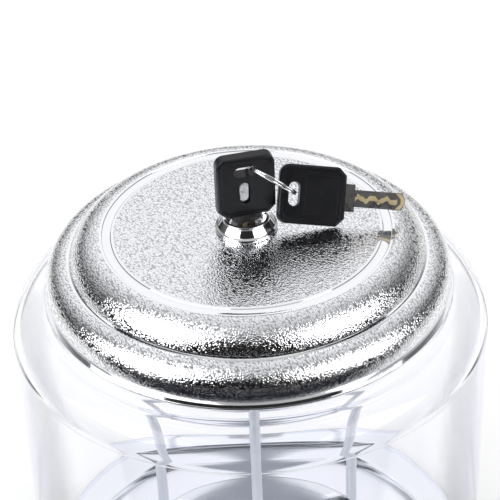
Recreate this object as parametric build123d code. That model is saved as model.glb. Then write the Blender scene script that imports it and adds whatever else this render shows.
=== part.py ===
from build123d import *
import os
from math import atan2, cos, degrees, radians, sin, sqrt

# Round clear donation canister with a chrome lift-off lid, a central key lock, tie rods and a chrome base.
# Millimetres, +Z up, origin at the centre of the floor under the feet, front (coin slot) towards -Y.

# ---- driving dimensions -------------------------------------------------------------------------
BARREL_R = 105.0            # outer radius of the clear barrel
WALL = 3.2                  # barrel wall
SHOULDER_R = 13.6           # outer rounding between barrel wall and mouth
SHOULDER_TOP = 197.4        # top of the rounded shoulder
NECK_R = 91.0               # outer radius of the raised mouth flange
NECK_TOP = 202.3            # face that the lid rests on
SPIGOT_OUT = 84.6           # locating spigot inside the lid
SPIGOT_IN = 81.6
SPIGOT_TOP = 208.0
BARREL_FOOT = 25.0          # lower end of the barrel
GASKET_H = 1.0

LID_TOP = 230.0             # flat top of the lid
LID_SKIN = 2.0
LID_EDGE = 202.6            # lower edge of the lid
LID_EDGE_R = 89.4
DOME_START_R = 65.0         # where the flat top begins to fall away
CREASE_R = 77.9             # crease between upper dome and lower bead
CREASE_Z = LID_TOP - 11.1
DOME_SAG = 2.4              # bulge of the upper dome above its chord
BEAD_END_R = 87.6           # lower end of the bead
BEAD_END_Z = LID_EDGE + 1.1
BEAD_SAG = 4.8
BAND_IN = 58.4              # smooth decorative band on the flat top
BAND_OUT = 62.6
BAND_DEPTH = 0.35

COLLAR_R = 13.5             # conical collar round the lock
COLLAR_BORE = 9.4
LOCK_R = 9.2                # threaded body of the lock
LOCK_RIM_R = 10.2
LOCK_RIM_Z = LID_TOP + 6.0
LOCK_CUP_R = 8.6            # recess in the lock's face
LOCK_FACE = LID_TOP + 1.8   # floor of that recess, level with the plug's face
PLUG_R = 6.5
PLUG_FIT = 0.05             # running clearance of the plug, on the radius
LOCK_BOTTOM = 207.0
LOCK_CHAMFER = 0.3
LOCK_NUT_AF = 24.0
LOCK_NUT_H = 4.0
LOCK_WASHER_R = 20.0
LOCK_WASHER_H = 1.2
PLUG_BOTTOM = 203.9
STUB = 6.0                  # square stub of the plug that carries the cam
CAM_SCREW_R = 1.6
CAM_SCREW_HEAD_R = 3.4
CAM_SCREW_HEAD_H = 2.2
CAM_SCREW_BITE = 3.0        # how far the cam's screw runs into the plug
CAM_WASHER_R = 4.6
CAM_WASHER_H = 1.0
CAM_HUB_R = 8.0
CAM_THICK = 1.9
CAM_REACH = 25.0
CAM_WIDTH = 12.0

KEY_YAW = 13.0              # the key head stands turned by this much about the lock's axis
HEAD_WIDTH = 25.4
HEAD_LENGTH = 28.8
HEAD_THICK = 6.2
HEAD_BOTTOM = LID_TOP + 7.7
HEAD_CORNER_R = 4.2         # ring end of the head
HEAD_CUT = 3.4              # cut corners at the blade end
HEAD_EDGE_R = 1.1
HEAD_WINDOW = (10.6, 4.7, 1.9)      # length, width and depth of the window in one face
HEAD_WINDOW_AT = (-0.8, -2.9)
TANG_DEPTH = 18.0           # the blade's tang runs this far into the moulded head
RING_SLOT = (10.4, 4.8)     # slot for the split ring, across and along the key
RING_SLOT_FROM_TOP = 6.6
COLLAR_KEY = (11.8, 3.6)    # shoulder between head and blade, width and thickness
BLADE_WIDTH = 7.3
BLADE_THICK = 2.1
BLADE_LENGTH = 22.0
KEY_SHOULDER = 4.0
KEYWAY = (7.7, 2.5)

SPARE_CENTRE = (28.207, 1.582, 243.994)   # middle of the spare key's head
SPARE_PITCH = 9.0                   # its blade points down by this much
SPARE_LEAN = 34.0                   # its face leans back by this much
SIGHT_FALL = 34.2                   # the ring's hoop lies in a plane that falls to the back by this much
RING_WIRE = (1.1, 1.7)              # radial and axial size of the split ring's coil
RING_EDGE_R = 0.35

ROD_R = 2.5
SIDE_ROD_X = 45.0
ROD_CHAMFER = 0.5
KEEPER = (116.0, 32.0, 2.5)
KEEPER_HOLE_R = 11.0
KEEPER_Z = 204.6            # underside of the keeper bar
BRIDGE = (112.0, 15.0, 3.0)
BRIDGE_Z = 184.0            # underside of the bridge bar
NUT_AF = 8.0
NUT_H = 4.0
WASHER_R = 5.0
WASHER_H = 1.0

DISH_FLOOR = 27.5           # inner face of the money dish
DISH_FLOOR_R = 92.5
DISH_RIM = 41.0
DISH_SKIN = 1.3
BASE_R = 112.0
PLATE_Z = 6.0               # underside of the base plate
PLATE_H = 3.0
BASE_TOP = 33.0
BASE_TOP_R = 108.8
BASE_SAG = 1.6
DISH_LEDGE_R = (86.0, 91.0)         # inner and outer radius of the ledge under the dish
FOOT_R = 9.0
FOOT_PIN_R = 2.0
FOOT_PCD = 168.0
SCREW_PCD = 196.0
SCREW_R = 1.5
SCREW_HEAD = (3.0, 1.8)             # radius and height
BOSS_R = 4.0
FIT = 0.1                           # clearance between a bore and what goes through it, on the radius

SLOT_Z = 150.0              # middle height of the coin slot
SLOT = (52.0, 11.5)         # takes coins and folded notes
SLOT_CORNER_R = 1.5
PLATE = (76.0, 22.0)        # coin slot surround
PLATE_T = 2.0
PLATE_CORNER_R = 5.0
LIP = (0.8, 0.6)            # thickness of the slot's lining at its ends, and above and below
BACKING_T = 1.2
SLOT_SCREW_X = 32.0
SLOT_SCREW_R = 1.6
SLOT_NUT = (5.5, 2.4)       # across flats and height


ON_FLOOR = (Align.CENTER, Align.CENTER, Align.MIN)


# ---- helpers ------------------------------------------------------------------------------------
def save(part, name):
    export_step(part, f"parts/{name}.step")


def ring(outer, inner, low, high):
    """Flat-faced ring about Z between two heights."""
    body = Pos(0, 0, low) * Cylinder(outer, high - low, align=ON_FLOOR)
    if inner > 0:
        body -= Pos(0, 0, low - 1) * Cylinder(inner, high - low + 2, align=ON_FLOOR)
    return body


def rod(radius, low, high, x=0.0, y=0.0):
    return Pos(x, y, low) * Cylinder(radius, high - low, align=ON_FLOOR)


def hex_nut(x, y, low, across=NUT_AF, height=NUT_H, hole=ROD_R):
    """Hexagon nut with chamfered corners; its bore is the rod's own radius."""
    outline = RegularPolygon(across / 2, 6, major_radius=False)
    body = extrude(outline, height)
    cone_r = across * 0.56
    body &= Cylinder(cone_r, height, align=ON_FLOOR)
    body -= Pos(0, 0, -1) * Cylinder(hole, height + 2, align=ON_FLOOR)
    return Pos(x, y, low) * body


def bulge(start, end, sag):
    """XZ arc from start to end, standing out of its chord by sag to the left of its direction."""
    dx, dz = end[0] - start[0], end[1] - start[1]
    length = sqrt(dx * dx + dz * dz)
    middle = ((start[0] + end[0]) / 2 - dz / length * sag, (start[1] + end[1]) / 2 + dx / length * sag)
    return ThreePointArc(start, middle, end)


def turned(*edges):
    """Solid of revolution about Z from the edges of a closed XZ section."""
    face = make_face([Plane.XZ * edge for edge in edges])
    return revolve(face, Axis.Z)


def path(*points):
    """Straight edges through the points."""
    return [Line(a, b) for a, b in zip(points, points[1:])]


# ---- lid ----------------------------------------------------------------------------------------
def lid_shell():
    skin = LID_SKIN
    groove = LID_TOP - BAND_DEPTH
    crease = (CREASE_R, CREASE_Z)
    bead_end = (BEAD_END_R, BEAD_END_Z)
    dome_start = (DOME_START_R, LID_TOP)
    edges = path((COLLAR_BORE + 0.1, LID_TOP), (BAND_IN, LID_TOP), (BAND_IN + 0.3, groove),
                 (BAND_OUT - 0.3, groove), (BAND_OUT, LID_TOP), dome_start)
    edges += [bulge(dome_start, crease, DOME_SAG), bulge(crease, bead_end, BEAD_SAG)]
    inner_end = (BEAD_END_R - skin, LID_EDGE)
    inner_crease = (CREASE_R - skin * 0.8, CREASE_Z - skin)
    inner_dome = (DOME_START_R - 0.5, LID_TOP - skin)
    edges += path(bead_end, (LID_EDGE_R, LID_EDGE + 0.7), (LID_EDGE_R, LID_EDGE), inner_end)
    edges += [bulge(inner_crease, inner_end, BEAD_SAG - 0.6), bulge(inner_dome, inner_crease, DOME_SAG - 0.6)]
    edges += path(inner_dome, (COLLAR_BORE + 0.1, LID_TOP - skin), (COLLAR_BORE + 0.1, LID_TOP))
    return turned(*edges)


# ---- lock ---------------------------------------------------------------------------------------
def lock_collar():
    top = LOCK_RIM_Z - 0.8
    return turned(*path((COLLAR_BORE, LID_TOP), (COLLAR_R - 0.7, LID_TOP), (COLLAR_R, LID_TOP + 0.8),
                        (COLLAR_R, LID_TOP + 1.6), (LOCK_RIM_R, top), (COLLAR_BORE, top),
                        (COLLAR_BORE, LID_TOP)))


def lock_housing():
    """Threaded body with a cup-shaped face; the plug turns in its bore."""
    bore = PLUG_R + PLUG_FIT
    rim = LOCK_RIM_Z - 0.8
    edge = LOCK_CHAMFER
    return turned(*path((bore, LOCK_BOTTOM), (LOCK_R, LOCK_BOTTOM), (LOCK_R, rim), (LOCK_RIM_R, rim),
                        (LOCK_RIM_R, LOCK_RIM_Z - edge), (LOCK_RIM_R - edge, LOCK_RIM_Z),
                        (LOCK_CUP_R, LOCK_RIM_Z), (LOCK_CUP_R, LOCK_FACE), (bore, LOCK_FACE),
                        (bore, LOCK_BOTTOM)))


def lock_plug():
    """Round plug with the keyway, and a square stub below for the cam."""
    body = ring(PLUG_R, 0, PLUG_BOTTOM, LOCK_FACE)
    body += Pos(0, 0, PLUG_BOTTOM - CAM_THICK / 2) * Box(STUB, STUB, CAM_THICK)
    keyway_floor = LOCK_FACE - BLADE_LENGTH - 1.0
    keyway = Pos(0, 0, keyway_floor) * Box(KEYWAY[0], KEYWAY[1], 2 * BLADE_LENGTH,
                                           align=ON_FLOOR)
    screw_hole = rod(CAM_SCREW_R, PLUG_BOTTOM - CAM_THICK - 1, PLUG_BOTTOM + CAM_SCREW_BITE)
    return body - Rot(0, 0, KEY_YAW) * keyway - screw_hole


def lock_cam():
    """Latch arm, square-holed on the plug; it points to +Y when the lock is open."""
    low = PLUG_BOTTOM - CAM_THICK
    tip_y = CAM_REACH - CAM_WIDTH / 2
    arm = Pos(0, tip_y / 2, low) * Box(CAM_WIDTH, tip_y, CAM_THICK, align=ON_FLOOR)
    body = arm + rod(CAM_HUB_R, low, PLUG_BOTTOM) + rod(CAM_WIDTH / 2, low, PLUG_BOTTOM, y=tip_y)
    square = Pos(0, 0, low - 1) * Box(STUB, STUB, CAM_THICK + 2, align=ON_FLOOR)
    return body - square


def cam_screw():
    head_top = PLUG_BOTTOM - CAM_THICK - CAM_WASHER_H
    head_low = head_top - CAM_SCREW_HEAD_H
    head = rod(CAM_SCREW_HEAD_R, head_low, head_top)
    slot = Pos(0, 0, head_low) * Box(3 * CAM_SCREW_HEAD_R, 0.9, 1.6)
    return head - slot + rod(CAM_SCREW_R, head_top, PLUG_BOTTOM + CAM_SCREW_BITE)


# ---- keys ---------------------------------------------------------------------------------------
def key_head_plan():
    """Head outline, rounded at the ring end (+Y) and with cut corners at the blade end (-Y)."""
    plan = Rectangle(HEAD_WIDTH, HEAD_LENGTH)
    ring_end = plan.vertices().filter_by_position(Axis.Y, 0, HEAD_LENGTH)
    plan = fillet(ring_end, HEAD_CORNER_R)
    blade_end = plan.vertices().sort_by(Axis.Y)[:2]
    return chamfer(blade_end, HEAD_CUT)


def key_head_local():
    """Moulded head about its own middle, window side at +Z, blade end at -Y."""
    plan = key_head_plan()
    body = extrude(plan, HEAD_THICK / 2, both=True)
    faces = body.faces().sort_by(Axis.Z)
    body = fillet(faces[0].edges() + faces[-1].edges(), HEAD_EDGE_R)
    slot_y = HEAD_LENGTH / 2 - RING_SLOT_FROM_TOP
    slot = extrude(Pos(0, slot_y) * SlotOverall(RING_SLOT[0], RING_SLOT[1]), HEAD_THICK, both=True)
    body -= slot
    length, width, depth = HEAD_WINDOW
    window = extrude(SlotOverall(length, width, rotation=90), depth, both=True)
    body -= Pos(HEAD_WINDOW_AT[0], HEAD_WINDOW_AT[1], HEAD_THICK / 2) * window
    blade = Pos(0, -HEAD_LENGTH / 2, 0) * Box(BLADE_WIDTH + 0.02, 2 * TANG_DEPTH, BLADE_THICK + 0.02)
    return body - blade


def key_blade_local():
    """Steel blade with its tang, and the shoulder under the head. Same frame as the head."""
    tip = -HEAD_LENGTH / 2 - KEY_SHOULDER - BLADE_LENGTH
    tang = -HEAD_LENGTH / 2 + TANG_DEPTH - 0.05
    outline = Polyline((BLADE_WIDTH / 2, tang), (BLADE_WIDTH / 2, tip + 1.6), (1.0, tip), (-1.0, tip),
                       (-BLADE_WIDTH / 2, tip + 1.6), (-BLADE_WIDTH / 2, tang), close=True)
    body = extrude(make_face(outline), BLADE_THICK / 2, both=True)
    middle = -HEAD_LENGTH / 2 - KEY_SHOULDER / 2
    shoulder = Pos(0, middle, 0) * Box(COLLAR_KEY[0], KEY_SHOULDER, COLLAR_KEY[1])
    return body + shoulder


def key_in_lock():
    """Where the upright key stands: local -Y goes down, its window side faces the front."""
    middle = HEAD_BOTTOM + HEAD_LENGTH / 2
    return Pos(0, 0, middle) * Rot(0, 0, KEY_YAW) * Rot(90, 0, 0)


def spare_key():
    """Where the second key lies: blade to the right and a little down, face leaning back."""
    a = Vector(cos(radians(SPARE_PITCH)), 0.03, -sin(radians(SPARE_PITCH))).normalized()
    lean = Vector(0, sin(radians(SPARE_LEAN)), cos(radians(SPARE_LEAN)))
    across = (lean - a * lean.dot(a)).normalized()
    face = a.cross(across)
    return Plane(origin=SPARE_CENTRE, x_dir=across * -1.0, z_dir=face * -1.0).location


def ring_ends():
    """Middle of the ring's wire in each key's slot."""
    start = key_in_lock() * Pos(1.8, HEAD_LENGTH / 2 - RING_SLOT_FROM_TOP + 0.3, 0)
    end = spare_key() * Pos(-0.6, HEAD_LENGTH / 2 - RING_SLOT_FROM_TOP + 0.1, 0)
    return start.position, end.position


def split_ring():
    """Double-coil ring as one flat band that joins the two key heads."""
    a, b = ring_ends()
    along = (b - a).normalized()
    fall = Vector(0, cos(radians(SIGHT_FALL)), -sin(radians(SIGHT_FALL)))
    tangent = (fall - along * fall.dot(along)).normalized()
    radius = (b - a).length / 2
    plane = Plane(origin=(a + b) * 0.5, x_dir=along, z_dir=along.cross(tangent))
    half = RING_WIRE[1] / 2
    band = Cylinder(radius + RING_WIRE[0] / 2, 2 * half) - Cylinder(radius - RING_WIRE[0] / 2, 3 * half)
    band = fillet(band.edges().filter_by(GeomType.CIRCLE), RING_EDGE_R)
    return plane.location * band


# ---- barrel -------------------------------------------------------------------------------------
def barrel():
    """Clear moulded barrel: straight wall, rounded shoulder, raised mouth flange and locating spigot."""
    centre_r = BARREL_R - SHOULDER_R
    tangent_z = SHOULDER_TOP - SHOULDER_R
    inner_r = BARREL_R - WALL
    inner_arc = SHOULDER_R - WALL
    c45 = cos(radians(45))
    edges = path((inner_r, BARREL_FOOT), (BARREL_R, BARREL_FOOT), (BARREL_R, tangent_z))
    outer_mid = (centre_r + SHOULDER_R * c45, tangent_z + SHOULDER_R * c45)
    inner_mid = (centre_r + inner_arc * c45, tangent_z + inner_arc * c45)
    edges += [ThreePointArc((BARREL_R, tangent_z), outer_mid, (centre_r, SHOULDER_TOP))]
    edges += path((centre_r, SHOULDER_TOP), (NECK_R, SHOULDER_TOP + 0.5), (NECK_R, NECK_TOP - 0.6),
                  (NECK_R - 0.6, NECK_TOP), (SPIGOT_OUT, NECK_TOP), (SPIGOT_OUT, SPIGOT_TOP - 0.6),
                  (SPIGOT_OUT - 0.6, SPIGOT_TOP), (SPIGOT_IN, SPIGOT_TOP), (SPIGOT_IN, NECK_TOP - WALL),
                  (NECK_R - WALL, NECK_TOP - WALL), (NECK_R - WALL, SHOULDER_TOP - WALL + 0.4),
                  (centre_r, SHOULDER_TOP - WALL))
    edges += [ThreePointArc((centre_r, SHOULDER_TOP - WALL), inner_mid, (inner_r, tangent_z))]
    edges += path((inner_r, tangent_z), (inner_r, BARREL_FOOT))
    body = turned(*edges)
    slot = Pos(0, -BARREL_R, SLOT_Z) * Box(SLOT[0], 30, SLOT[1])
    slot = fillet(slot.edges().filter_by(Axis.Y), SLOT_CORNER_R)
    body -= slot
    for x in (-SLOT_SCREW_X, SLOT_SCREW_X):
        body -= slot_screw_axis(x) * Cylinder(SLOT_SCREW_R, 30)
    return body


def slot_screw_axis(x):
    """Location on the barrel's outer face at x, local +Z pointing straight out of the wall."""
    angle = atan2(-sqrt(BARREL_R ** 2 - x ** 2), x)
    place = Pos(BARREL_R * cos(angle), BARREL_R * sin(angle), SLOT_Z)
    return place * Rot(0, 0, degrees(angle)) * Rot(0, 90, 0)


def curved_plate(inner, outer):
    """Piece of a pipe cut to the slot surround's rounded outline, on the front of the barrel."""
    pipe = ring(outer, inner, SLOT_Z - PLATE[1], SLOT_Z + PLATE[1])
    block = Pos(0, -BARREL_R, SLOT_Z) * Box(PLATE[0], 60, PLATE[1])
    block = fillet(block.edges().filter_by(Axis.Y), PLATE_CORNER_R)
    body = pipe & block
    for x in (-SLOT_SCREW_X, SLOT_SCREW_X):
        body -= slot_screw_axis(x) * Cylinder(SLOT_SCREW_R, 30)
    return body


def slot_surround():
    """Bright plate round the coin slot, with a lip that lines the slot through the wall."""
    body = curved_plate(BARREL_R, BARREL_R + PLATE_T)
    lip = Pos(0, -BARREL_R, SLOT_Z) * Box(SLOT[0], 30, SLOT[1])
    lip = fillet(lip.edges().filter_by(Axis.Y), SLOT_CORNER_R)
    lip &= ring(BARREL_R + PLATE_T, BARREL_R - WALL, SLOT_Z - PLATE[1], SLOT_Z + PLATE[1])
    hole = Pos(0, -BARREL_R, SLOT_Z) * Box(SLOT[0] - 2 * LIP[0], 30, SLOT[1] - 2 * LIP[1])
    return body + lip - hole


def slot_backing():
    """Thin plate on the inside of the wall that the surround is screwed to."""
    body = curved_plate(BARREL_R - WALL - BACKING_T, BARREL_R - WALL)
    hole = Pos(0, -BARREL_R, SLOT_Z) * Box(SLOT[0], 30, SLOT[1])
    return body - hole


def slot_screws():
    solids = []
    for x in (-SLOT_SCREW_X, SLOT_SCREW_X):
        head = Pos(0, 0, PLATE_T) * Cone(2.9, 1.9, 1.5, align=ON_FLOOR)
        recess = Pos(0, 0, PLATE_T + 1.5) * (Box(3.2, 0.7, 1.4) + Box(0.7, 3.2, 1.4))
        reach = WALL + BACKING_T + SLOT_NUT[1] + 3.2
        shank = Pos(0, 0, -reach) * Cylinder(SLOT_SCREW_R - 0.05, reach + PLATE_T,
                                             align=ON_FLOOR)
        solids.append(slot_screw_axis(x) * (head - recess + shank))
    return Compound(children=solids)


def slot_nuts():
    across, height = SLOT_NUT
    depth = -WALL - BACKING_T - height - 0.05
    return Compound(children=[slot_screw_axis(x) * hex_nut(0, 0, depth, across, height, SLOT_SCREW_R - 0.04)
                              for x in (-SLOT_SCREW_X, SLOT_SCREW_X)])


# ---- rods, keeper and bridge --------------------------------------------------------------------
def keeper_bar():
    """Bar across the mouth; its notch lets the open cam through and the turned cam hooks under it."""
    length, width, thick = KEEPER
    body = extrude(Rectangle(length, width), thick)
    body = fillet(body.edges().filter_by(Axis.Z), 6.0)
    body -= Pos(0, 0, -1) * Cylinder(KEEPER_HOLE_R, thick + 2, align=ON_FLOOR)
    body -= Pos(0, width / 2, -1) * Box(CAM_WIDTH + 4, width, thick + 2, align=ON_FLOOR)
    for x in (-SIDE_ROD_X, SIDE_ROD_X):
        body -= Pos(x, 0, -1) * Cylinder(ROD_R + FIT, thick + 2, align=ON_FLOOR)
    return Pos(0, 0, KEEPER_Z) * body


def bridge_bar():
    """Bar that joins the three rods below the lock."""
    length, width, thick = BRIDGE
    body = fillet(extrude(Rectangle(length, width), thick).edges().filter_by(Axis.Z), 4.0)
    for x in (-SIDE_ROD_X, 0, SIDE_ROD_X):
        body -= Pos(x, 0, -1) * Cylinder(ROD_R + FIT, thick + 2, align=ON_FLOOR)
    return Pos(0, 0, BRIDGE_Z) * body


def tie_rod(x, top):
    body = rod(ROD_R, PLATE_Z - NUT_H + 0.4, top, x)
    return chamfer(body.edges().filter_by(GeomType.CIRCLE), ROD_CHAMFER)


def nuts(places):
    return Compound(children=[hex_nut(x, 0, z) for x, z in places])


def washers(places):
    return Compound(children=[Pos(x, 0, 0) * ring(WASHER_R, ROD_R, z, z + WASHER_H) for x, z in places])


# ---- base ---------------------------------------------------------------------------------------
def money_dish():
    """Bright spun dish that closes the bottom of the barrel."""
    rim_r = BARREL_R - WALL - 0.5
    skin = DISH_SKIN
    body = turned(*path((0, DISH_FLOOR), (DISH_FLOOR_R, DISH_FLOOR), (rim_r - skin, DISH_RIM),
                        (rim_r, DISH_RIM), (rim_r, DISH_RIM - 1.5), (rim_r - 0.4, DISH_RIM - 1.5),
                        (DISH_FLOOR_R + 0.7, DISH_FLOOR - skin), (0, DISH_FLOOR - skin), (0, DISH_FLOOR)))
    for x in (-SIDE_ROD_X, 0, SIDE_ROD_X):
        body -= rod(ROD_R + FIT, DISH_FLOOR - 5, DISH_FLOOR + 5, x)
    return body


def base_ring():
    """Moulded chrome base: bead round the outside, a channel for the barrel and a ledge under the dish."""
    outer_r = BARREL_R + 0.4
    inner_r = BARREL_R - WALL - 0.8
    seat = BARREL_FOOT - GASKET_H
    dish_under = DISH_FLOOR - DISH_SKIN
    ledge_in, ledge_out = DISH_LEDGE_R
    edges = path((BASE_R - 3.0, PLATE_Z), (BASE_R, PLATE_Z), (BASE_R, 10.0))
    edges += [bulge((BASE_TOP_R, BASE_TOP - 2.0), (BASE_R, 10.0), BASE_SAG)]
    edges += path((BASE_TOP_R, BASE_TOP - 2.0), (BASE_TOP_R - 1.4, BASE_TOP), (outer_r, BASE_TOP),
                  (outer_r, seat), (inner_r, seat), (inner_r, 20.0), (ledge_out, 20.0),
                  (ledge_out, dish_under), (ledge_in, dish_under), (ledge_in, 16.5),
                  (BASE_R - 6.0, 16.5), (BASE_R - 3.0, 13.0),
                  (BASE_R - 3.0, PLATE_Z))
    body = turned(*edges)
    for x, y in on_circle(SCREW_PCD, 6, 30):
        body += rod(BOSS_R, PLATE_Z + PLATE_H, 17.0, x, y) - rod(SCREW_R, PLATE_Z, 15, x, y)
    return body


def barrel_gasket():
    return ring(BARREL_R + 0.2, BARREL_R - WALL - 0.4, BARREL_FOOT - GASKET_H, BARREL_FOOT)


def on_circle(pcd, count, start):
    return [(pcd / 2 * cos(radians(start + 360 * i / count)), pcd / 2 * sin(radians(start + 360 * i / count)))
            for i in range(count)]


def base_plate():
    body = ring(BASE_R - 3.2, 0, PLATE_Z, PLATE_Z + PLATE_H)
    for x in (-SIDE_ROD_X, 0, SIDE_ROD_X):
        body -= rod(ROD_R + FIT, 0, 20, x)
    for x, y in on_circle(SCREW_PCD, 6, 30):
        body -= rod(SCREW_R + 2 * FIT, 0, 20, x, y)
    for x, y in on_circle(FOOT_PCD, 4, 45):
        body -= rod(FOOT_PIN_R + FIT, 0, 20, x, y)
    return body


def base_screws():
    solids = []
    head_r, head_h = SCREW_HEAD
    for x, y in on_circle(SCREW_PCD, 6, 30):
        screw = rod(head_r, PLATE_Z - head_h, PLATE_Z, x, y) + rod(SCREW_R - 0.01, PLATE_Z, 14.0, x, y)
        solids.append(screw - Pos(x, y, PLATE_Z - head_h) * (Box(3.4, 0.8, 2.0) + Box(0.8, 3.4, 2.0)))
    return Compound(children=solids)


def rubber_feet():
    solids = []
    plate_top = PLATE_Z + PLATE_H
    for x, y in on_circle(FOOT_PCD, 4, 45):
        foot = Pos(x, y, 0) * Cone(FOOT_R - 1.0, FOOT_R, PLATE_Z, align=ON_FLOOR)
        foot += rod(FOOT_PIN_R, PLATE_Z - 0.5, plate_top, x, y)
        foot += rod(FOOT_PIN_R + 1.0, plate_top, plate_top + 1.2, x, y)
        solids.append(foot)
    return Compound(children=solids)


# ---- build --------------------------------------------------------------------------------------
def main():
    os.makedirs("parts", exist_ok=True)
    save(lid_shell(), "lid_shell")
    save(lock_collar(), "lock_collar")
    save(lock_housing(), "lock_housing")
    washer_low = LID_TOP - LID_SKIN - LOCK_WASHER_H
    save(ring(LOCK_WASHER_R, LOCK_R + FIT, washer_low, LID_TOP - LID_SKIN), "lock_washer")
    save(hex_nut(0, 0, washer_low - LOCK_NUT_H, LOCK_NUT_AF, LOCK_NUT_H, LOCK_R + 0.05), "lock_nut")
    save(lock_plug(), "lock_plug")
    save(lock_cam(), "lock_cam")
    save(cam_screw(), "cam_screw")
    cam_low = PLUG_BOTTOM - CAM_THICK
    save(ring(CAM_WASHER_R, CAM_SCREW_R + 0.05, cam_low - CAM_WASHER_H, cam_low), "cam_washer")
    save(key_in_lock() * key_head_local(), "lock_key_head")
    save(key_in_lock() * key_blade_local(), "lock_key_blade")
    save(spare_key() * key_head_local(), "spare_key_head")
    save(spare_key() * key_blade_local(), "spare_key_blade")
    save(split_ring(), "split_ring")
    save(barrel(), "barrel")
    save(slot_surround(), "slot_surround")
    save(slot_backing(), "slot_backing")
    save(slot_screws(), "slot_screws")
    save(slot_nuts(), "slot_nuts")
    keeper_top = KEEPER_Z + KEEPER[2]
    bridge_top = BRIDGE_Z + BRIDGE[2]
    side_top = keeper_top + NUT_H + 1.0
    save(keeper_bar(), "keeper_bar")
    save(bridge_bar(), "bridge_bar")
    save(tie_rod(0, bridge_top + WASHER_H + NUT_H + 1.0), "centre_rod")
    save(tie_rod(-SIDE_ROD_X, side_top), "left_rod")
    save(tie_rod(SIDE_ROD_X, side_top), "right_rod")
    sides = (-SIDE_ROD_X, SIDE_ROD_X)
    save(nuts([(x, keeper_top) for x in sides] + [(x, KEEPER_Z - NUT_H) for x in sides]), "keeper_nuts")
    save(nuts([(0, bridge_top + WASHER_H)] + [(x, BRIDGE_Z - NUT_H) for x in sides]), "bridge_nuts")
    save(washers([(0, bridge_top)]), "bridge_washer")
    all_three = (-SIDE_ROD_X, 0, SIDE_ROD_X)
    save(nuts([(x, DISH_FLOOR + WASHER_H) for x in all_three]), "dish_nuts")
    save(washers([(x, DISH_FLOOR) for x in all_three]), "dish_washers")
    save(nuts([(x, PLATE_Z - NUT_H) for x in all_three]), "base_nuts")
    save(money_dish(), "money_dish")
    save(base_ring(), "base_ring")
    save(barrel_gasket(), "barrel_gasket")
    save(base_plate(), "base_plate")
    save(base_screws(), "base_screws")
    save(rubber_feet(), "rubber_feet")


main()
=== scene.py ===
from math import atan2, cos, hypot, pi, radians, sin

import bmesh
import bpy
from mathutils import Matrix, Vector


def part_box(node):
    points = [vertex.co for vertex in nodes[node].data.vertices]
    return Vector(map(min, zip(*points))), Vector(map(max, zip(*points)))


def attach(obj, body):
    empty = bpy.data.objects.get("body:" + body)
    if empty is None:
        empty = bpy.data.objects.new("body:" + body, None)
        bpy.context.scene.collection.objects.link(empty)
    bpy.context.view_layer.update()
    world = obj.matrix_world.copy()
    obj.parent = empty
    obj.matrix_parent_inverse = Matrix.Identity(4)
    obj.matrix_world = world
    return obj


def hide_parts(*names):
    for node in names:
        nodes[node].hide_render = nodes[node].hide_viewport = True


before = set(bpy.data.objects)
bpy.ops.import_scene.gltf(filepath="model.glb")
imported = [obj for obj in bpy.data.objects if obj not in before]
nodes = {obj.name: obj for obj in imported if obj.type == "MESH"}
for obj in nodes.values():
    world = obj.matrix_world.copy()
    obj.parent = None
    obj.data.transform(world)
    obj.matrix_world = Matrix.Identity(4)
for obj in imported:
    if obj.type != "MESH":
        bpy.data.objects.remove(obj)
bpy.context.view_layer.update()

# Clear donation canister: grained chrome lid, key lock, two keys on a split ring, rods and a chrome base.
# Outlines are in millimetres and match the CAD part; everything in Blender is in metres.

MM = 0.001

# ---- sizes shared with the CAD part, in millimetres ---------------------------------------------
BARREL_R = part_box("barrel")[1].x / MM
LID_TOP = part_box("lid_shell")[1].z / MM
KEY_YAW = 13.0
HEAD_LENGTH = 28.8
HEAD_BOTTOM = LID_TOP + 7.7
HEAD_WIDTH = 25.4
HEAD_HALF = 3.1
SPARE_CENTRE = Vector((28.207, 1.582, 243.994))
SPARE_PITCH = 9.0
SPARE_LEAN = 34.0
SLOT_Z = 150.0
SLOT_SIZE = (52.0, 11.5)
SLOT_SCREW_X = 32.0
SLOT_SCREW_R = 1.62
THREAD_PITCH = 0.8
ROD_SMOOTH = (36.0, 178.0)


# ---- shader helpers -----------------------------------------------------------------------------
def add(tree, kind, inputs=None, **settings):
    """A shader node; inputs hold constants or the sockets to link from."""
    made = tree.nodes.new(kind)
    for key, value in settings.items():
        setattr(made, key, value)
    for key, value in (inputs or {}).items():
        if isinstance(value, bpy.types.NodeSocket):
            tree.links.new(value, made.inputs[key])
        else:
            made.inputs[key].default_value = value
    return made


def maths(tree, operation, a, b=0.0):
    return add(tree, "ShaderNodeMath", {0: a, 1: b}, operation=operation).outputs[0]


def spread(tree, value, low, high, to_low=0.0, to_high=1.0):
    made = add(tree, "ShaderNodeMapRange", {"Value": value, "From Min": low, "From Max": high,
                                            "To Min": to_low, "To Max": to_high})
    return made.outputs[0]


def new_material(name, **shader_inputs):
    """Material with one Principled shader and its tree."""
    made = bpy.data.materials.new(name)
    made.use_nodes = True
    shader = made.node_tree.nodes["Principled BSDF"]
    for key, value in shader_inputs.items():
        shader.inputs[key.replace("_", " ")].default_value = value
    return made, made.node_tree, shader


def object_place(tree):
    return add(tree, "ShaderNodeTexCoord").outputs["Object"]


def scaled(tree, vector, factors):
    return add(tree, "ShaderNodeVectorMath", {0: vector, 1: factors}, operation="MULTIPLY").outputs[0]


def stretched(tree, angle, squeeze):
    """Object coordinates squeezed along one direction in plan, so that cells come out longer across it."""
    turned = add(tree, "ShaderNodeVectorRotate", {"Vector": object_place(tree), "Angle": radians(angle)},
                 rotation_type="Z_AXIS")
    return scaled(tree, turned.outputs[0], squeeze)


def colour_mix(tree, factor, first, second):
    """Blend from the first colour at 0 to the second at 1."""
    made = add(tree, "ShaderNodeMix", {"Factor": factor, 6: (*first, 1), 7: (*second, 1)}, data_type="RGBA")
    return made.outputs[2]


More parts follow.
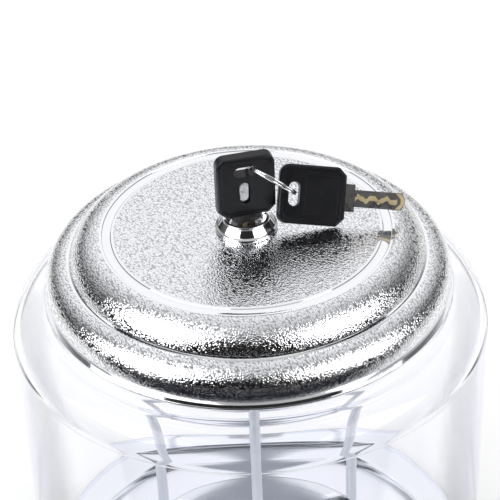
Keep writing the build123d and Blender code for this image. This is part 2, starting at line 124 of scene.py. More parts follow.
def noise(tree, place, scale, detail=2.0, roughness=0.5):
    made = add(tree, "ShaderNodeTexNoise", {"Vector": place, "Scale": scale, "Detail": detail,
                                            "Roughness": roughness})
    return made.outputs[0]


def bump(tree, height, distance, strength=1.0, under=None):
    inputs = {"Height": height, "Distance": distance, "Strength": strength}
    if under is not None:
        inputs["Normal"] = under
    return add(tree, "ShaderNodeBump", inputs).outputs[0]


# ---- materials ----------------------------------------------------------------------------------
def grained_chrome():
    """Plated plastic with a leather grain and painted shade in its hollows, where the grain attribute says
    so.
    """
    made, t, shader = new_material("grained_chrome", Metallic=1.0)
    place = stretched(t, 58.0, (0.52, 1.0, 1.0))
    wobble = add(t, "ShaderNodeTexNoise", {"Vector": place, "Scale": 500.0, "Detail": 2.0})
    shifted = scaled(t, wobble.outputs[1], (0.0009, 0.0009, 0.0009))
    warped = add(t, "ShaderNodeVectorMath", {0: place, 1: shifted}, operation="ADD").outputs[0]
    cells = add(t, "ShaderNodeTexVoronoi", {"Vector": warped, "Scale": 1500.0, "Smoothness": 0.25,
                                            "Randomness": 0.9}, feature="SMOOTH_F1")
    mound = spread(t, cells.outputs["Distance"], 0.05, 0.70, 1.0, 0.0)
    fine = noise(t, place, 3000.0, 1.0)
    height = maths(t, "ADD", mound, maths(t, "MULTIPLY", fine, 0.2))
    mask = add(t, "ShaderNodeAttribute", attribute_name="grain").outputs["Fac"]
    # Painted shade: the base colour goes from near white to grey in the grain's hollows, standing in for the
    # contrast that reflections give the grain.
    painted_hollow_shade = maths(t, "MULTIPLY", spread(t, height, 0.16, 0.38, 1.0, 0.0), mask)
    tint = colour_mix(t, painted_hollow_shade, (0.97, 0.975, 0.985), (0.50, 0.51, 0.53))
    t.links.new(tint, shader.inputs["Base Color"])
    grain = bump(t, maths(t, "MULTIPLY", height, mask), 0.0001)
    waves = bump(t, noise(t, place, 26.0, 1.0), 0.0002, 0.25, grain)
    t.links.new(waves, shader.inputs["Normal"])
    worn = noise(t, place, 60.0, 4.0, 0.6)
    t.links.new(spread(t, worn, 0.3, 0.7, 0.055, 0.10), shader.inputs["Roughness"])
    return made


def bright_chrome():
    made, t, shader = new_material("bright_chrome", Base_Color=(0.92, 0.925, 0.94, 1), Metallic=1.0)
    place = object_place(t)
    worn = noise(t, place, 180.0, 4.0, 0.6)
    t.links.new(spread(t, worn, 0.3, 0.7, 0.03, 0.09), shader.inputs["Roughness"])
    t.links.new(bump(t, noise(t, place, 120.0, 2.0), 0.00002, 0.25), shader.inputs["Normal"])
    return made


def metal(name, colour, roughness, scratch=0.3, cloud=0.12):
    """Plain metal with clouded colour and fine scratches."""
    made, t, shader = new_material(name, Metallic=1.0)
    place = object_place(t)
    lines = scaled(t, place, (9.0, 1.2, 1.0))
    clouds = noise(t, place, 300.0, 4.0, 0.6)
    dark = tuple(c * (1 - cloud) for c in colour)
    t.links.new(colour_mix(t, clouds, dark, colour), shader.inputs["Base Color"])
    t.links.new(spread(t, clouds, 0.3, 0.7, roughness * 0.75, roughness * 1.3), shader.inputs["Roughness"])
    t.links.new(bump(t, noise(t, lines, 700.0, 3.0), 0.00003, scratch), shader.inputs["Normal"])
    return made


def threaded_steel():
    """Zinc-plated rod; the bump makes a thread at both ends."""
    made, t, shader = new_material("threaded_steel", Metallic=0.5)
    place = object_place(t)
    height = add(t, "ShaderNodeSeparateXYZ", {0: place}).outputs["Z"]
    thread = maths(t, "SINE", maths(t, "MULTIPLY", height, 2 * pi / (THREAD_PITCH * MM)))
    low = maths(t, "LESS_THAN", height, ROD_SMOOTH[0] * MM)
    high = maths(t, "GREATER_THAN", height, ROD_SMOOTH[1] * MM)
    ends = maths(t, "MAXIMUM", low, high)
    t.links.new(bump(t, maths(t, "MULTIPLY", thread, ends), 0.0002, 0.8), shader.inputs["Normal"])
    clouds = noise(t, place, 220.0, 3.0)
    tint = colour_mix(t, clouds, (0.66, 0.69, 0.74), (0.74, 0.77, 0.82))
    t.links.new(tint, shader.inputs["Base Color"])
    t.links.new(spread(t, clouds, 0.3, 0.7, 0.38, 0.46), shader.inputs["Roughness"])
    return made


def spun_metal():
    """Bright dish with fine turning rings."""
    made, t, shader = new_material("spun_metal", Base_Color=(0.86, 0.87, 0.91, 1), Metallic=1.0)
    place = object_place(t)
    part = add(t, "ShaderNodeSeparateXYZ", {0: place})
    across = maths(t, "MULTIPLY", part.outputs["X"], part.outputs["X"])
    along = maths(t, "MULTIPLY", part.outputs["Y"], part.outputs["Y"])
    radius = maths(t, "SQRT", maths(t, "ADD", across, along))
    line = add(t, "ShaderNodeCombineXYZ", {0: radius})
    rings = noise(t, line.outputs[0], 900.0, 4.0, 0.7)
    clouds = noise(t, place, 40.0, 3.0)
    t.links.new(spread(t, clouds, 0.3, 0.7, 0.05, 0.09), shader.inputs["Roughness"])
    t.links.new(bump(t, rings, 0.00003, 0.4), shader.inputs["Normal"])
    return made


def plastic(name, colour, roughness, grain_scale, depth):
    """Moulded plastic or rubber with a fine grain and slightly uneven colour."""
    made, t, shader = new_material(name, Specular_IOR_Level=0.35)
    place = object_place(t)
    clouds = noise(t, place, 90.0, 4.0, 0.6)
    dark = tuple(c * 0.65 for c in colour)
    t.links.new(colour_mix(t, clouds, dark, colour), shader.inputs["Base Color"])
    t.links.new(spread(t, clouds, 0.3, 0.7, roughness * 0.8, roughness * 1.25), shader.inputs["Roughness"])
    cells = add(t, "ShaderNodeTexVoronoi", {"Vector": place, "Scale": grain_scale})
    t.links.new(bump(t, cells.outputs["Distance"], depth, 0.6), shader.inputs["Normal"])
    return made


def clear_plastic():
    """Clear wall with a faint lavender cast; shadows and diffuse light pass straight through it."""
    made, t, shader = new_material("clear_plastic", Base_Color=(0.982, 0.985, 1.0, 1), IOR=1.34)
    shader.inputs["Transmission Weight"].default_value = 1.0
    shader.inputs["Specular IOR Level"].default_value = 0.2
    place = object_place(t)
    smears = noise(t, place, 70.0, 5.0, 0.65)
    t.links.new(spread(t, smears, 0.45, 0.8, 0.0, 0.03), shader.inputs["Roughness"])
    t.links.new(bump(t, noise(t, place, 14.0, 1.0), 0.0006, 0.12), shader.inputs["Normal"])
    rays = add(t, "ShaderNodeLightPath")
    passing = maths(t, "MAXIMUM", rays.outputs["Is Shadow Ray"], rays.outputs["Is Diffuse Ray"])
    straight = add(t, "ShaderNodeBsdfTransparent", {"Color": (0.97, 0.97, 0.985, 1)})
    grazing = add(t, "ShaderNodeLayerWeight", {"Blend": 0.5}).outputs["Facing"]
    edge = spread(t, grazing, 0.60, 0.92, 0.0, 0.95)
    haze = add(t, "ShaderNodeBsdfTransparent", {"Color": (0.965, 0.968, 0.992, 1)})
    softened = add(t, "ShaderNodeMixShader", {0: edge, 1: shader.outputs[0], 2: haze.outputs[0]})
    mixed = add(t, "ShaderNodeMixShader", {0: passing, 1: softened.outputs[0], 2: straight.outputs[0]})
    t.links.new(mixed.outputs[0], t.nodes["Material Output"].inputs["Surface"])
    return made


# ---- mesh helpers -------------------------------------------------------------------------------
def bulge(start, end, sag, count=16):
    """Points of the arc from start to end, standing out of its chord by sag to the left of its direction."""
    (x0, z0), (x1, z1) = start, end
    dx, dz = x1 - x0, z1 - z0
    chord = hypot(dx, dz)
    radius = (chord * chord / 4 + sag * sag) / (2 * sag)
    back = radius - sag
    cx = (x0 + x1) / 2 + dz / chord * back
    cz = (z0 + z1) / 2 - dx / chord * back
    first = atan2(z0 - cz, x0 - cx)
    last = atan2(z1 - cz, x1 - cx)
    if last - first > pi:
        last -= 2 * pi
    if last - first < -pi:
        last += 2 * pi
    angles = [first + (last - first) * i / count for i in range(count + 1)]
    return [(cx + radius * cos(a), cz + radius * sin(a)) for a in angles]


def quarter(centre, radius, start, end, count=12):
    """Points of an arc about centre, angles in degrees."""
    angles = [radians(start + (end - start) * i / count) for i in range(count + 1)]
    return [(centre[0] + radius * cos(a), centre[1] + radius * sin(a)) for a in angles]


def soften(outline, reach, count=4):
    """Closed outline with each corner sharper than 15 degrees cut back by reach and rounded."""
    made = []
    for i, here in enumerate(outline):
        before, after = outline[i - 1], outline[(i + 1) % len(outline)]
        a = Vector((before[0] - here[0], before[1] - here[1]))
        b = Vector((after[0] - here[0], after[1] - here[1]))
        if a.length < 1e-6 or b.length < 1e-6 or a.angle(b) > radians(165):
            made.append(here)
            continue
        cut = min(reach, 0.45 * a.length, 0.45 * b.length)
        corner = Vector(here)
        first = corner + a.normalized() * cut
        last = corner + b.normalized() * cut
        for k in range(count + 1):
            f = k / count
            made.append(tuple(first * (1 - f) ** 2 + corner * (2 * f * (1 - f)) + last * f * f))
    return made


def finish_mesh(obj, sharp=35.0):
    """Outward normals, smooth faces, and sharp edges where the faces turn by more than the angle."""
    work = bmesh.new()
    work.from_mesh(obj.data)
    bmesh.ops.remove_doubles(work, verts=work.verts, dist=1e-8)
    bmesh.ops.dissolve_degenerate(work, edges=work.edges, dist=1e-9)
    bmesh.ops.recalc_face_normals(work, faces=work.faces)
    for face in work.faces:
        face.smooth = True
    for edge in work.edges:
        edge.smooth = len(edge.link_faces) == 2 and edge.calc_face_angle(0) < radians(sharp)
    work.to_mesh(obj.data)
    work.free()


def piece(name, vertices, faces, material, body):
    """New piece of the object, in metres in the part's frame, riding on a body."""
    mesh = bpy.data.meshes.new(name)
    mesh.from_pydata(vertices, [], faces)
    mesh.materials.append(material)
    obj = bpy.data.objects.new(name, mesh)
    bpy.context.scene.collection.objects.link(obj)
    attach(obj, body)
    return obj


def lathe(name, outline, material, body, steps=240, grain=None, sharp=35.0):
    """Closed outline of (radius, height) in millimetres turned about Z."""
    turns = [(cos(2 * pi * k / steps), sin(2 * pi * k / steps)) for k in range(steps)]
    vertices = [(r * c * MM, r * s * MM, z * MM) for r, z in outline for c, s in turns]
    faces = []
    for i in range(len(outline)):
        j = (i + 1) % len(outline)
        for k in range(steps):
            n = (k + 1) % steps
            faces.append((i * steps + k, i * steps + n, j * steps + n, j * steps + k))
    obj = piece(name, vertices, faces, material, body)
    finish_mesh(obj, sharp)
    if grain:
        layer = obj.data.attributes.new("grain", "FLOAT", "POINT")
        for vertex, value in zip(obj.data.vertices, layer.data):
            value.value = grain(hypot(vertex.co.x, vertex.co.y) / MM, vertex.co.z / MM)
    return obj


def tube(name, centres, radius, material, body, sides=14, closed=False):
    """Round wire along the centre points (metres)."""
    vertices, faces = [], []
    count = len(centres)
    side = None
    for i, here in enumerate(centres):
        before = centres[i - 1] if i or closed else here
        after = centres[(i + 1) % count] if i + 1 < count or closed else here
        along = (after - before).normalized()
        side = along.orthogonal() if side is None else side
        side = (side - along * side.dot(along)).normalized()
        other = along.cross(side)
        for k in range(sides):
            a = 2 * pi * k / sides
            vertices.append(here + (side * cos(a) + other * sin(a)) * radius)
    for i in range(count if closed else count - 1):
        j = (i + 1) % count
        for k in range(sides):
            n = (k + 1) % sides
            faces.append((i * sides + k, i * sides + n, j * sides + n, j * sides + k))
    if not closed:
        faces.append(tuple(range(sides)))
        faces.append(tuple(range((count - 1) * sides, count * sides)))
    obj = piece(name, vertices, faces, material, body)
    finish_mesh(obj, 50.0)
    return obj


def round_edges(obj, width, segments, angle):
    edge = obj.modifiers.new("edge_rounding", "BEVEL")
    edge.width = width * MM
    edge.segments = segments
    edge.limit_method = "ANGLE"
    edge.angle_limit = radians(angle)


def paint(material, *names, bevel=0.0):
    """Give CAD nodes a finish, and a small edge rounding where they have flat machined edges."""
    for name in names:
        obj = nodes[name]
        obj.data.materials.clear()
        obj.data.materials.append(material)
        if bevel:
            round_edges(obj, bevel, 2, 50)


# ---- lid ----------------------------------------------------------------------------------------
COLLAR_EDGE = 12.6
BAND = (58.4, 62.6)
BAND_DEPTH = 0.35
DOME_START = (65.0, LID_TOP)
CREASE = (77.9, 218.9)
BEAD_END = (87.6, 203.7)
LID_EDGE = 202.6
LID_EDGE_R = 89.4


def lid_grain(r, z):
    """1 on the grained faces; 0 under the collar, on the smooth band, the crease, the lip and the inside."""
    if r < COLLAR_EDGE or BAND[0] - 0.9 < r < BAND[1] + 0.9:
        return 0.0
    if abs(r - CREASE[0]) < 0.9 and z > 215:
        return 0.0
    return min(1.0, max(0.0, (z - 204.6) / 4.5))


def build_lid(chrome):
    low = LID_TOP - BAND_DEPTH
    crease_in = (CREASE[0] - 0.35, CREASE[1])
    crease_out = (CREASE[0] + 0.45, CREASE[1] - 0.05)
    top = [(r, LID_TOP) for r in (9.5, COLLAR_EDGE - 0.2, COLLAR_EDGE + 0.2, BAND[0] - 1.2, BAND[0] - 0.8)]
    band = [(BAND[0], LID_TOP), (BAND[0] + 0.35, low), (BAND[1] - 0.35, low), (BAND[1], LID_TOP)]
    outer = [(BAND[1] + 0.8, LID_TOP), (BAND[1] + 1.2, LID_TOP)]
    outer += bulge(DOME_START, crease_in, 2.4, 30)
    outer += bulge(crease_out, BEAD_END, 4.8, 40)
    skirt = [(LID_EDGE_R, LID_EDGE + 0.8), (LID_EDGE_R, LID_EDGE), (85.6, LID_EDGE)]
    inside = bulge((76.3, 216.9), (85.6, LID_EDGE), 4.2, 16)[::-1][1:]
    inside += bulge((64.5, LID_TOP - 2), (76.3, 216.9), 1.8, 12)[::-1][1:]
    outline = soften(top + band, 0.09, 2) + outer + soften(skirt, 0.2, 3) + inside + [(9.5, LID_TOP - 2)]
    lid = lathe("lid_visual", outline, chrome, "lid", 360, lid_grain, 25.0)
    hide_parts("lid_shell")


# ---- lock ---------------------------------------------------------------------------------------
def build_lock(chrome, nickel, zinc, brass):
    top = LID_TOP + 5.2
    collar = [(9.4, LID_TOP), (12.9, LID_TOP), (13.4, LID_TOP + 0.5), (13.4, LID_TOP + 1.6)]
    collar += [(12.4, LID_TOP + 2.2), (10.25, top), (9.4, top)]
    ring = lathe("lock_collar_visual", soften(collar, 0.25), chrome, "lid", 160)
    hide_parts("lock_collar")
    bore = 6.56
    rim = LID_TOP + 6.0
    face = LID_TOP + 1.8
    body = [(bore, 207.0), (9.2, 207.0), (9.2, top), (10.2, top + 0.02), (10.2, rim)]
    body += [(8.9, rim), (8.0, face + 0.9), (7.4, face), (bore, face)]
    housing = lathe("lock_housing_visual", soften(body, 0.25), chrome, "lid", 160)
    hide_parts("lock_housing")
    paint(nickel, "lock_plug", bevel=0.15)
    paint(zinc, "lock_washer", "lock_cam", "cam_screw", "cam_washer", bevel=0.15)
    paint(brass, "lock_nut", bevel=0.3)


# ---- keys ---------------------------------------------------------------------------------------
def lock_key_frame():
    """Local X across the head, Y up the key to its ring end, Z out of the window side."""
    yaw = radians(KEY_YAW)
    across = Vector((cos(yaw), sin(yaw), 0))
    up = Vector((0, 0, 1))
    face = across.cross(up)
    return Vector((0, 0, HEAD_BOTTOM + HEAD_LENGTH / 2)), across, up, face


def spare_key_frame():
    """The same axes for the key that hangs on the ring."""
    pitch, lean = radians(SPARE_PITCH), radians(SPARE_LEAN)
    along = Vector((cos(pitch), 0.03, -sin(pitch))).normalized()
    back = Vector((0, sin(lean), cos(lean)))
    across = (back - along * back.dot(along)).normalized()
    face = along.cross(across)
    return SPARE_CENTRE, -across, -along, -face


def in_frame(frame_axes, points):
    centre, x_axis, y_axis, z_axis = frame_axes
    return [(centre + x_axis * x + y_axis * y + z_axis * z) * MM for x, y, z in points]


def slab(name, axes, outline, low, high, material, body, rounding=0.0):
    """Flat piece with the given outline (local XY) between two local heights."""
    count = len(outline)
    points = [(x, y, low) for x, y in outline] + [(x, y, high) for x, y in outline]
    faces = [tuple(range(count))[::-1], tuple(range(count, 2 * count))]
    faces += [(i, (i + 1) % count, count + (i + 1) % count, count + i) for i in range(count)]
    obj = piece(name, in_frame(axes, points), faces, material, body)
    finish_mesh(obj, 30.0)
    if rounding:
        round_edges(obj, rounding, 3, 40)
    return obj


def frame_strip(name, axes, outer, inner, low, high, material, body, slot, rounding):
    """Raised border between two outlines with the same number of points."""
    count = len(outer)
    loops = [(outer, low), (outer, high), (inner, high), (inner, low)]
    points = [(x, y, z) for loop, z in loops for x, y in loop]
    faces = []
    for level in range(4):
        here, there = level * count, (level + 1) % 4 * count
        for i in range(count):
            n = (i + 1) % count
            faces.append((here + i, here + n, there + n, there + i))
    obj = piece(name, in_frame(axes, points), faces, material, body)
    finish_mesh(obj, 30.0)
    round_edges(obj, rounding, 3, 40)
    return obj


def rounded_box(x0, x1, y0, y1, reach):
    return soften([(x0, y0), (x1, y0), (x1, y1), (x0, y1)], reach, 5)


def wavy(y0, y1, width, swing, pitch, count=60):
    """Outline of a wavy track along local Y."""
    left, right = [], []
    for i in range(count + 1):
        y = y0 + (y1 - y0) * i / count
        phase = 2 * pi * (y - y0) / pitch
        middle = swing * (sin(phase) + 0.35 * sin(phase / 0.43 + 1.0))
        left.append((middle - width / 2, y))
        right.append((middle + width / 2, y))
    return left + right[::-1]


def head_outline(inset, count=8):
    """Head outline drawn in by inset, with round corners at the ring end and cut ones at the blade."""
    half = HEAD_WIDTH / 2 - inset
    end = HEAD_LENGTH / 2 - inset
    corner = 4.2 - 0.6 * inset
    cut = 3.4 - 0.6 * inset
    ring_end = quarter((half - corner, end - corner), corner, 0, 90, count)
    ring_end += quarter((corner - half, end - corner), corner, 90, 180, count)
    return ring_end + [(-half, cut - end), (cut - half, -end), (half - cut, -end), (half, cut - end)]


def stadium(middle, length, width, count=8):
    """Round-ended outline along local Y."""
    x, y = middle
    reach = (length - width) / 2
    top = quarter((x, y + reach), width / 2, 0, 180, count)
    return top + quarter((x, y - reach), width / 2, 180, 360, count)


def blade_tip(end):
    """Milled border round the blade's tip."""
    outer = [(-3.4, end + 2.0), (-1.0, end + 0.2), (1.0, end + 0.2), (3.4, end + 2.0)]
    inner = [(3.4, end + 4.2), (1.0, end + 1.9), (-1.0, end + 1.9)]
    return [(-3.4, end + 4.2)] + outer + inner


def key_details(axes, label, body, black, brass, steel):
    """Raised borders on the head, the tang seen in its window, milled brass track and tip on the blade."""
    flush = HEAD_HALF - 0.02
    blade_start = -HEAD_LENGTH / 2 - 4.0
    blade_end = blade_start - 22.0
    track = wavy(blade_start - 0.3, blade_end + 3.4, 2.1, 0.75, 6.0)
    for side, suffix in ((1, "front"), (-1, "back")):
        low, high = sorted((side * flush, side * (HEAD_HALF + 0.4)))
        rim = (head_outline(0.75), head_outline(2.2))
        frame_strip(f"{label}_rim_{suffix}", axes, *rim, low, high, black, body, "black_plastic", 0.25)
        low, high = sorted((side * 1.0, side * 1.12))
        slab(f"{label}_track_{suffix}", axes, track, low, high, brass, body)
        slab(f"{label}_tip_{suffix}", axes, blade_tip(blade_end), low, high, brass, body)
    low, high = -HEAD_HALF - 0.25, -flush
    panel = (rounded_box(-8.6, 8.6, -11.2, 3.4, 0.6), rounded_box(-8.1, 8.1, -10.7, 2.9, 0.4))
    frame_strip(f"{label}_panel", axes, *panel, low, high, black, body, "black_plastic", 0.1)
    slab(f"{label}_dot", axes, stadium((0, -4.0), 1.5, 1.4), low, high, black, body, 0.1)
    window = stadium((-0.8, -2.9), 10.2, 4.3)
    slab(f"{label}_tang", axes, window, 1.15, 1.75, steel, body, 0.3)


def build_ring(steel):
    """Two coils of round wire that part a little halfway, through both heads' slots."""
    lock_axes, spare_axes = lock_key_frame(), spare_key_frame()
    start = in_frame(lock_axes, [(1.8, HEAD_LENGTH / 2 - 6.3, 0)])[0]
    end = in_frame(spare_axes, [(-0.6, HEAD_LENGTH / 2 - 6.5, 0)])[0]
    along = (end - start).normalized()
    fall = Vector((0, cos(radians(34.2)), -sin(radians(34.2))))
    tangent = (fall - along * fall.dot(along)).normalized()
    axle = along.cross(tangent)
    middle = (start + end) / 2
    radius = (end - start).length / 2
    centres = []
    turns, steps = 1.96, 260
    for i in range(steps + 1):
        part = i / steps
        angle = 2 * pi * turns * part + 0.9
        side = min(1.0, max(-1.0, (part - 0.5) / 0.06))
        offset = side * (0.38 + 0.20 * sin(angle) ** 2) * MM
        centres.append(middle + (along * cos(angle) + tangent * sin(angle)) * radius + axle * offset)
    ring = tube("split_ring_visual", centres, 0.00046, steel, "key_ring")
    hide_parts("split_ring")


def build_keys(black, nickel, brass, steel):
    paint(black, "lock_key_head", "spare_key_head")
    paint(nickel, "lock_key_blade", "spare_key_blade", bevel=0.2)
    key_details(lock_key_frame(), "lock_key", "lock_key", black, brass, steel)
    key_details(spare_key_frame(), "spare_key", "spare_key", black, brass, steel)
    build_ring(steel)


# ---- barrel, rods and base ----------------------------------------------------------------------
def slot_cutters():
    """Hidden blocks that cut the coin slot and its two screw holes out of the barrel."""
    work = bmesh.new()
    size = Matrix.Diagonal((SLOT_SIZE[0] * MM, 0.03, SLOT_SIZE[1] * MM, 1))
    bmesh.ops.create_cube(work, size=1, matrix=Matrix.Translation((0, -BARREL_R * MM, SLOT_Z * MM)) @ size)
    for x in (-SLOT_SCREW_X, SLOT_SCREW_X):
        place = Vector((x, -(BARREL_R ** 2 - x * x) ** 0.5, SLOT_Z)) * MM
        turn = Vector((place.x, place.y, 0)).to_track_quat("Z", "Y").to_matrix().to_4x4()
        bmesh.ops.create_cone(work, cap_ends=True, segments=24, radius1=SLOT_SCREW_R * MM,
                              radius2=SLOT_SCREW_R * MM, depth=0.03, matrix=Matrix.Translation(place) @ turn)
    mesh = bpy.data.meshes.new("slot_cutters")
    work.to_mesh(mesh)
    work.free()
    cutter = bpy.data.objects.new("slot_cutters", mesh)
    bpy.context.scene.collection.objects.link(cutter)
    cutter.hide_render = True
    cutter.hide_viewport = True
    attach(cutter, "canister")
    return cutter


def build_barrel(clear):
    """Thick wall, rounded shoulder, raised mouth flange and the spigot inside the lid."""
    out = BARREL_R - 0.03
    face = out - 0.25
    inner = out - 3.14
    centre_r, centre_z = 91.4, 183.8
    outer_r, inner_r = 13.57, 10.43
    wall_rows = (100.0, 138.0, 143.0, 157.0, 162.0, 172.0)
    outline = [(inner, 25.0), (face, 25.0)] + [(face, z) for z in wall_rows]
    outline += [(face, centre_z - 1.7), (face, centre_z - 1.4)]
    outline += [(out, centre_z - 0.9), (out, centre_z - 0.5)]
    outline += quarter((centre_r, centre_z), outer_r, 0, 90, 32)[1:]
    outline += quarter((centre_r, 199.77), 2.4, 270, 180, 8)[1:]
    outline += [(89.0, 202.3), (84.6, 202.3), (84.6, 207.8), (81.6, 207.8), (81.6, 202.0), (85.9, 201.0)]
    outline += quarter((centre_r, 199.73), 5.5, 180, 270, 12)
    outline += quarter((centre_r, centre_z), inner_r, 90, 0, 32)[1:]
    outline += [(inner, z) for z in reversed(wall_rows)]
    outline = soften(outline, 0.5, 4)
    barrel = lathe("barrel_visual", outline, clear, "canister", 320, None, 30.0)
    cut = barrel.modifiers.new("slot", "BOOLEAN")
    cut.object = slot_cutters()
    cut.operation = "DIFFERENCE"
    cut.solver = "EXACT"
    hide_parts("barrel")


def build_dish(spun):
    """Shallow dish with two pressed rings in its floor, a curved wall and a flat rim."""
    floor = 27.5
    rim_r, rim_z = 101.3, 41.0
    dip = [(0, floor), (16, floor), (20, floor + 0.35), (24, floor)]
    dip += [(60, floor), (66, floor + 0.9), (72, floor), (86, floor)]
    wall = bulge((rim_r - 1.3, rim_z), (92.5, floor), 2.2, 14)[::-1]
    rim = [(rim_r, rim_z), (rim_r, rim_z - 1.5), (rim_r - 0.5, rim_z - 1.5)]
    outline = soften(dip + wall + rim + [(93.2, floor - 1.3), (0, floor - 1.3)], 0.6, 4)
    dish = lathe("money_dish_visual", outline, spun, "canister", 240, None, 40.0)
    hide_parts("money_dish")


def base_grain(r, z):
    return 1.0 if r > 108.5 and 11.5 < z < 30.0 else 0.0


def build_base(chrome, black, rubber, zinc):
    outline = [(109.0, 6.0), (112.0, 6.0), (112.0, 10.0)]
    outline += bulge((108.8, 31.0), (112.0, 10.0), 1.6, 24)[::-1][1:]
    outline += [(107.4, 33.0), (105.4, 33.0), (105.4, 24.0), (101.0, 24.0), (101.0, 20.0), (91.0, 20.0)]
    outline += [(91.0, 26.15), (86.0, 26.15), (86.0, 16.5), (106.0, 16.5), (109.0, 13.0)]
    outline = soften(outline, 0.35, 4)
    ring = lathe("base_ring_visual", outline, chrome, "canister", 320, base_grain)
    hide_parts("base_ring")
    paint(black, "base_plate")
    paint(rubber, "barrel_gasket", "rubber_feet")
    paint(zinc, "base_screws", "base_nuts", bevel=0.12)


# ---- camera and studio --------------------------------------------------------------------------
CAMERA_ELEVATION = 34.98
CAMERA_ROLL = -2.27
CAMERA_LENS = 128.69
CAMERA_DISTANCE = 7.3195
CAMERA_RIGHT = -0.01431
CAMERA_UP = 0.09401
FLOOR_HALF = 6.0
SOFTBOX_STRENGTH = 3.6


def make_camera():
    """Looks down on the lid from the front; distances are in barrel radii from the lid's top centre."""
    elevation = radians(CAMERA_ELEVATION)
    roll = radians(CAMERA_ROLL)
    unit = BARREL_R * MM
    forward = Vector((0, cos(elevation), -sin(elevation)))
    level = Vector((1, 0, 0))
    rise = level.cross(forward)
    right = level * cos(roll) + rise * sin(roll)
    up = rise * cos(roll) - level * sin(roll)
    place = Vector((0, 0, LID_TOP * MM)) - right * (CAMERA_RIGHT * unit) - up * (CAMERA_UP * unit)
    place -= forward * (CAMERA_DISTANCE * unit)
    data = bpy.data.cameras.new("photo_camera")
    data.sensor_width = 36.0
    data.lens = CAMERA_LENS
    data.clip_end = 50
    camera = bpy.data.objects.new("photo_camera", data)
    axes = Matrix((right, up, -forward)).transposed()
    camera.matrix_world = Matrix.Translation(place) @ axes.to_4x4()
    bpy.context.scene.collection.objects.link(camera)
    bpy.context.scene.camera = camera


def flat_light(name, place, size, power, target):
    data = bpy.data.lights.new(name, "AREA")
    data.shape = "RECTANGLE"
    data.size, data.size_y = size
    data.energy = power
    lamp = bpy.data.objects.new(name, data)
    direction = Vector(target) - Vector(place)
    lamp.matrix_world = Matrix.Translation(place) @ direction.to_track_quat("-Z", "Y").to_matrix().to_4x4()
    bpy.context.scene.collection.objects.link(lamp)


def reflected_room(t, direction):
    """What metal sees: a white back, a grey top, and darkness in front, at the sides and near the floor."""
    ramp = add(t, "ShaderNodeValToRGB", {0: spread(t, direction.outputs["Y"], -1.0, 1.0)})
    stops = ((0.0, 0.02), (0.15, 0.02), (0.26, 0.45), (0.50, 0.64), (0.82, 0.90), (0.92, 0.98))
    while len(ramp.color_ramp.elements) < len(stops):
        ramp.color_ramp.elements.new(0.5)
    for element, (at, grey) in zip(ramp.color_ramp.elements, stops):
        element.position = at
        element.color = (grey, grey, grey * 1.02, 1)
    aside = maths(t, "ABSOLUTE", direction.outputs["X"])
    side_level = spread(t, aside, 0.35, 0.85, 1.0, 0.22)
    rise_level = spread(t, direction.outputs["Z"], 0.08, 0.40, 0.10, 1.0)
    level = maths(t, "MULTIPLY", side_level, rise_level)
    room = add(t, "ShaderNodeVectorMath", {0: ramp.outputs[0], "Scale": level}, operation="SCALE")
    return add(t, "ShaderNodeBackground", {"Color": room.outputs[0]})


def room_through_plastic(t, direction):
    """What is seen through the clear wall: a pale room, with a narrow grey banner above the middle."""
    upward = spread(t, direction.outputs["Z"], 0.25, 0.40)
    aside = maths(t, "ABSOLUTE", direction.outputs["X"])
    between = spread(t, aside, 0.014, 0.034, 1.0, 0.0)
    banner = maths(t, "MULTIPLY", upward, between)
    colour = colour_mix(t, banner, (1.02, 1.025, 1.045), (0.31, 0.33, 0.37))
    lift = maths(t, "ADD", maths(t, "MULTIPLY", upward, 0.10), 1.0)
    return add(t, "ShaderNodeBackground", {"Color": colour, "Strength": lift})


def studio_world():
    """White for the camera and for soft light, and its own room for reflections and for clear plastic."""
    world = bpy.data.worlds.new("studio")
    bpy.context.scene.world = world
    world.use_nodes = True
    t = world.node_tree
    t.nodes.clear()
    place = add(t, "ShaderNodeTexCoord").outputs["Generated"]
    direction = add(t, "ShaderNodeSeparateXYZ", {0: place})
    rays = add(t, "ShaderNodeLightPath")
    pale = add(t, "ShaderNodeBackground", {"Color": (1, 1, 1, 1), "Strength": 1.12})
    room = reflected_room(t, direction)
    through = room_through_plastic(t, direction)
    seen = add(t, "ShaderNodeMixShader", {0: rays.outputs["Is Glossy Ray"], 1: pale.outputs[0],
                                          2: room.outputs[0]})
    mixed = add(t, "ShaderNodeMixShader", {0: rays.outputs["Is Transmission Ray"], 1: seen.outputs[0],
                                           2: through.outputs[0]})
    add(t, "ShaderNodeOutputWorld", {"Surface": mixed.outputs[0]})


def card(name, corners, colour, strength=None):
    """Flat stage piece; it glows if it has a strength."""
    made, tree, shader = new_material(name, Base_Color=(*colour, 1), Roughness=0.9)
    shader.inputs["Specular IOR Level"].default_value = 0.0
    if strength is not None:
        shader.inputs["Emission Color"].default_value = (*colour, 1)
        shader.inputs["Emission Strength"].default_value = strength
    mesh = bpy.data.meshes.new(name)
    mesh.from_pydata(corners, [], [tuple(range(len(corners)))])
    mesh.materials.append(made)
    obj = bpy.data.objects.new(name, mesh)
    bpy.context.scene.collection.objects.link(obj)
    return obj


def only_reflected(obj, through_clear=False):
    """Hide a card from everything but reflections, if wanted also from those that pass the clear wall."""
    obj.visible_camera = False
    obj.visible_diffuse = False
    obj.visible_transmission = through_clear
    obj.visible_shadow = False
    t = obj.active_material.node_tree
    rays = add(t, "ShaderNodeLightPath")
    away = add(t, "ShaderNodeBsdfTransparent")
    unreflected = maths(t, "LESS_THAN", rays.outputs["Glossy Depth"], 0.5)
    shader = t.nodes["Principled BSDF"]
    mixed = add(t, "ShaderNodeMixShader", {0: unreflected, 1: shader.outputs[0], 2: away.outputs[0]})
    t.links.new(mixed.outputs[0], t.nodes["Material Output"].inputs["Surface"])


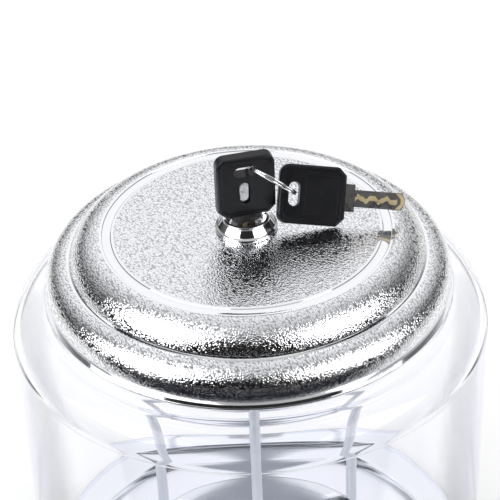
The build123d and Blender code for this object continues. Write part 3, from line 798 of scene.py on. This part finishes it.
def softbox(name, centre, half_depth, half_height):
    """Glowing card that only reflections see, square on to the lid; its long side runs front to back."""
    facing = (Vector((0, 0, LID_TOP * MM)) - Vector(centre)).normalized()
    depth = Vector((0, 1, 0))
    rise = facing.cross(depth).normalized()
    corners = [Vector(centre) + depth * a * half_depth + rise * b * half_height
               for a, b in ((-1, -1), (1, -1), (1, 1), (-1, 1))]
    only_reflected(card(name, corners, (1.0, 1.0, 1.0), SOFTBOX_STRENGTH))


def level_rectangle(x_half, y_low, y_high, z):
    return [(-x_half, y_low, z), (x_half, y_low, z), (x_half, y_high, z), (-x_half, y_high, z)]


def build_studio():
    studio_world()
    bpy.context.scene.view_settings.view_transform = "Standard"
    card("floor", level_rectangle(FLOOR_HALF, -FLOOR_HALF, FLOOR_HALF, 0), (0.95, 0.95, 0.95))
    flag = card("flag_front", level_rectangle(3, -3, -0.16, 0.001), (0.02, 0.02, 0.026))
    only_reflected(flag, through_clear=True)
    softbox("softbox_left", (-1.0, -0.60, 1.06), 0.62, 0.50)
    softbox("softbox_right", (1.0, -0.70, 1.06), 0.52, 0.46)
    flat_light("key_light", (-0.8, -0.7, 1.6), (0.8, 0.8), 2, (0, 0, 0.2))


# ---- build --------------------------------------------------------------------------------------
def main():
    chrome = grained_chrome()
    bright = bright_chrome()
    nickel = metal("dark_nickel", (0.24, 0.235, 0.23), 0.32, 0.8, 0.5)
    zinc = metal("zinc_steel", (0.62, 0.65, 0.70), 0.30)
    brass = metal("lock_brass", (0.95, 0.80, 0.48), 0.34, 1.0, 0.35)
    steel = metal("ring_steel", (0.80, 0.81, 0.83), 0.16, 0.15)
    black = plastic("black_plastic", (0.005, 0.0055, 0.009), 0.33, 2200.0, 0.00006)
    rubber = plastic("black_rubber", (0.02, 0.02, 0.02), 0.65, 1400.0, 0.0001)
    clear = clear_plastic()
    build_lid(chrome)
    build_lock(bright, nickel, zinc, brass)
    build_keys(black, nickel, brass, steel)
    build_barrel(clear)
    build_dish(spun_metal())
    build_base(chrome, black, rubber, zinc)
    threaded = threaded_steel()
    paint(threaded, "centre_rod", "left_rod", "right_rod")
    paint(zinc, "keeper_bar", "bridge_bar", bevel=0.3)
    paint(zinc, "keeper_nuts", "bridge_nuts", "bridge_washer", "dish_nuts", bevel=0.12)
    paint(zinc, "dish_washers", "slot_nuts", bevel=0.12)
    paint(bright, "slot_surround", bevel=0.35)
    paint(bright, "slot_screws", bevel=0.12)
    paint(zinc, "slot_backing", bevel=0.15)
    make_camera()
    build_studio()


main()
